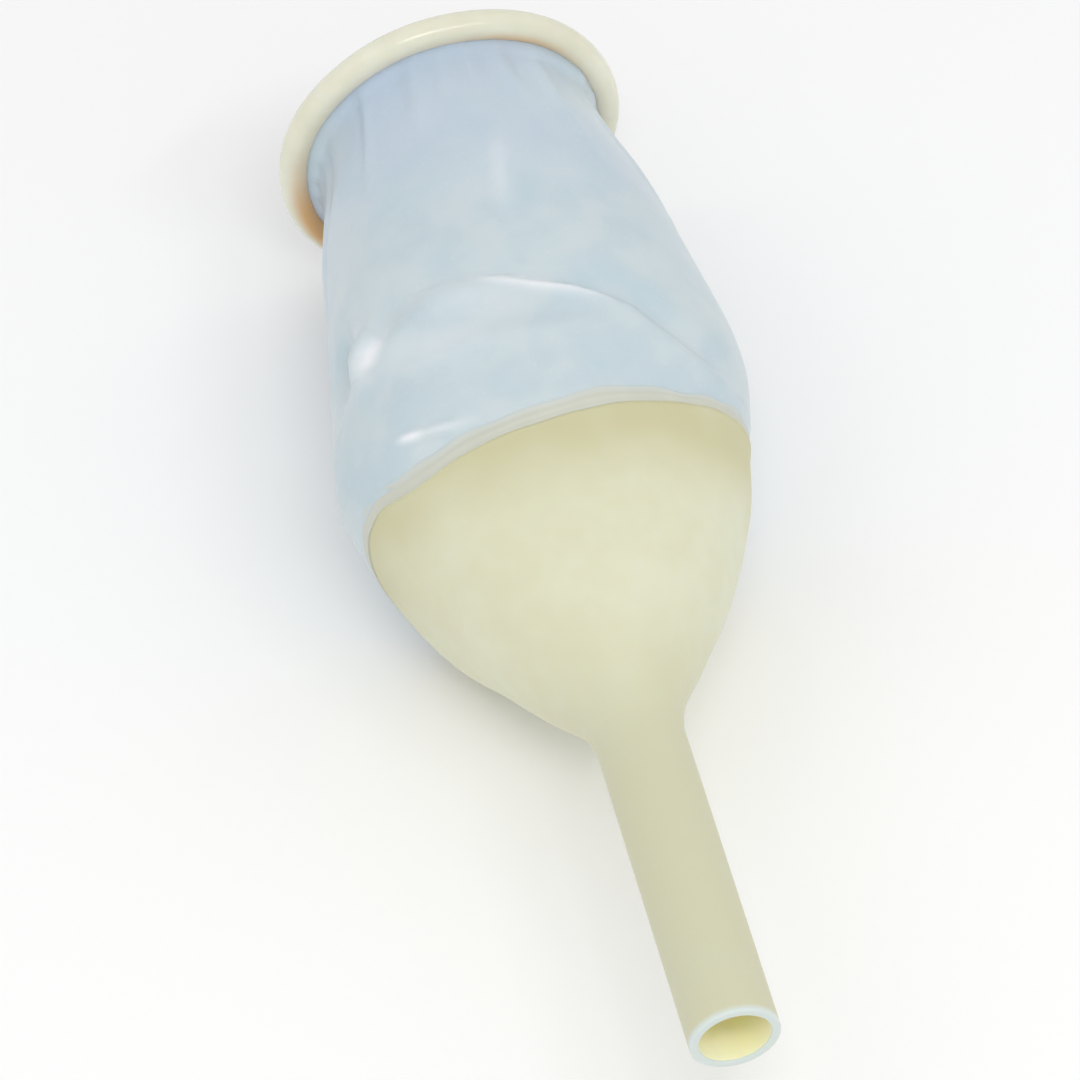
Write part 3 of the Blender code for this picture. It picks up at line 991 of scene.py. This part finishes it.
# %% [markdown]
# A pale world gives even light from all sides.  One large lamp could do it, but would leave the far side
# dark.  Camera, glossy and transmitted rays see a white world, so that the background is white without
# more light on the object.

# %% World
WORLD_LEVEL = 0.765


def make_world():
    world = bpy.data.worlds.new("Pale studio")
    world.use_nodes = True
    tree = world.node_tree
    path = add_node(tree, "ShaderNodeLightPath")
    seen = path.outputs["Is Camera Ray"]
    for ray in ("Is Glossy Ray", "Is Transmission Ray"):
        either = add_node(tree, "ShaderNodeMath", {"operation": "MAXIMUM"},
                          {0: seen, 1: path.outputs[ray]})
        seen = either.outputs[0]
    level = add_node(tree, "ShaderNodeMapRange", None,
                     {"Value": seen, "To Min": WORLD_LEVEL, "To Max": 1.0})
    background = tree.nodes["Background"]
    background.inputs["Color"].default_value = linear("#ffffff")
    tree.links.new(level.outputs["Result"], background.inputs["Strength"])
    bpy.context.scene.world = world


make_world()
print("world at", WORLD_LEVEL)

# %% [markdown]
# A softbox above the camera and a thin strip beside it draw the long highlights on the roll and the
# creases, and a weak softbox fills each side.  Spot lamps would draw hard points instead.

# %% Softboxes
KEY_PLACE = (-0.02, -0.27, 0.48)
KEY_TARGET = (0.0, 0.01, 0.015)
KEY_SIZE = (0.2, 0.08)
KEY_POWER = 0.48
STRIP_PLACE = (0.19, -0.27, 0.48)
STRIP_SIZE = (0.2, 0.03)
STRIP_POWER = 0.24
LEFT_FILL_PLACE = (-0.3, -0.02, 0.36)
LEFT_FILL_POWER = 0.14
RIGHT_FILL_PLACE = (0.3, 0.12, 0.3)
RIGHT_FILL_POWER = 0.06
FILL_TARGET = (0.0, 0.03, 0.02)
FILL_SIZE = (0.3, 0.3)


def add_softbox(name, place, target, size, power):
    lamp = bpy.data.lights.new(name, "AREA")
    lamp.shape = "RECTANGLE"
    lamp.size, lamp.size_y = size
    lamp.energy = power
    light = bpy.data.objects.new(name, lamp)
    light.location = place
    light.rotation_euler = (Vector(target) - Vector(place)).to_track_quat("-Z", "Y").to_euler()
    bpy.context.collection.objects.link(light)


add_softbox("key", KEY_PLACE, KEY_TARGET, KEY_SIZE, KEY_POWER)
add_softbox("strip", STRIP_PLACE, KEY_TARGET, STRIP_SIZE, STRIP_POWER)
add_softbox("left fill", LEFT_FILL_PLACE, FILL_TARGET, FILL_SIZE, LEFT_FILL_POWER)
add_softbox("right fill", RIGHT_FILL_PLACE, FILL_TARGET, FILL_SIZE, RIGHT_FILL_POWER)
bpy.context.scene.view_settings.view_transform = "Standard"
print("four softboxes, the strongest of", KEY_POWER, "watts")

# %% [markdown]
# The camera looks down at about 50 degrees from beyond the outlet tube.  A long lens from 60 cm keeps the
# far rim nearly as large as the near tube, and the slope of the half frame sets the lens.  It could be
# placed by eye in the viewport, but angles can be read and compared.

# %% Camera
ELEVATION = math.radians(50.16)
AZIMUTH = math.radians(-13.55)
DISTANCE = 0.6
TARGET = Vector((-2.45, 7.07, 13.1)) * MM
HALF_FRAME_SLOPE = 0.09
CLIP_START = 0.01
level_reach = math.cos(ELEVATION)
back = Vector((math.sin(AZIMUTH) * level_reach, -math.cos(AZIMUTH) * level_reach, math.sin(ELEVATION)))
lens = bpy.data.cameras.new("photo_camera")
lens.sensor_fit = "HORIZONTAL"
lens.angle = 2.0 * math.atan(HALF_FRAME_SLOPE)
lens.clip_start = CLIP_START
camera = bpy.data.objects.new("photo_camera", lens)
camera.location = TARGET + DISTANCE * back
camera.rotation_euler = (-back).to_track_quat("-Z", "Y").to_euler()
bpy.context.collection.objects.link(camera)
bpy.context.scene.camera = camera
print("camera at", [round(c, 4) for c in camera.location])
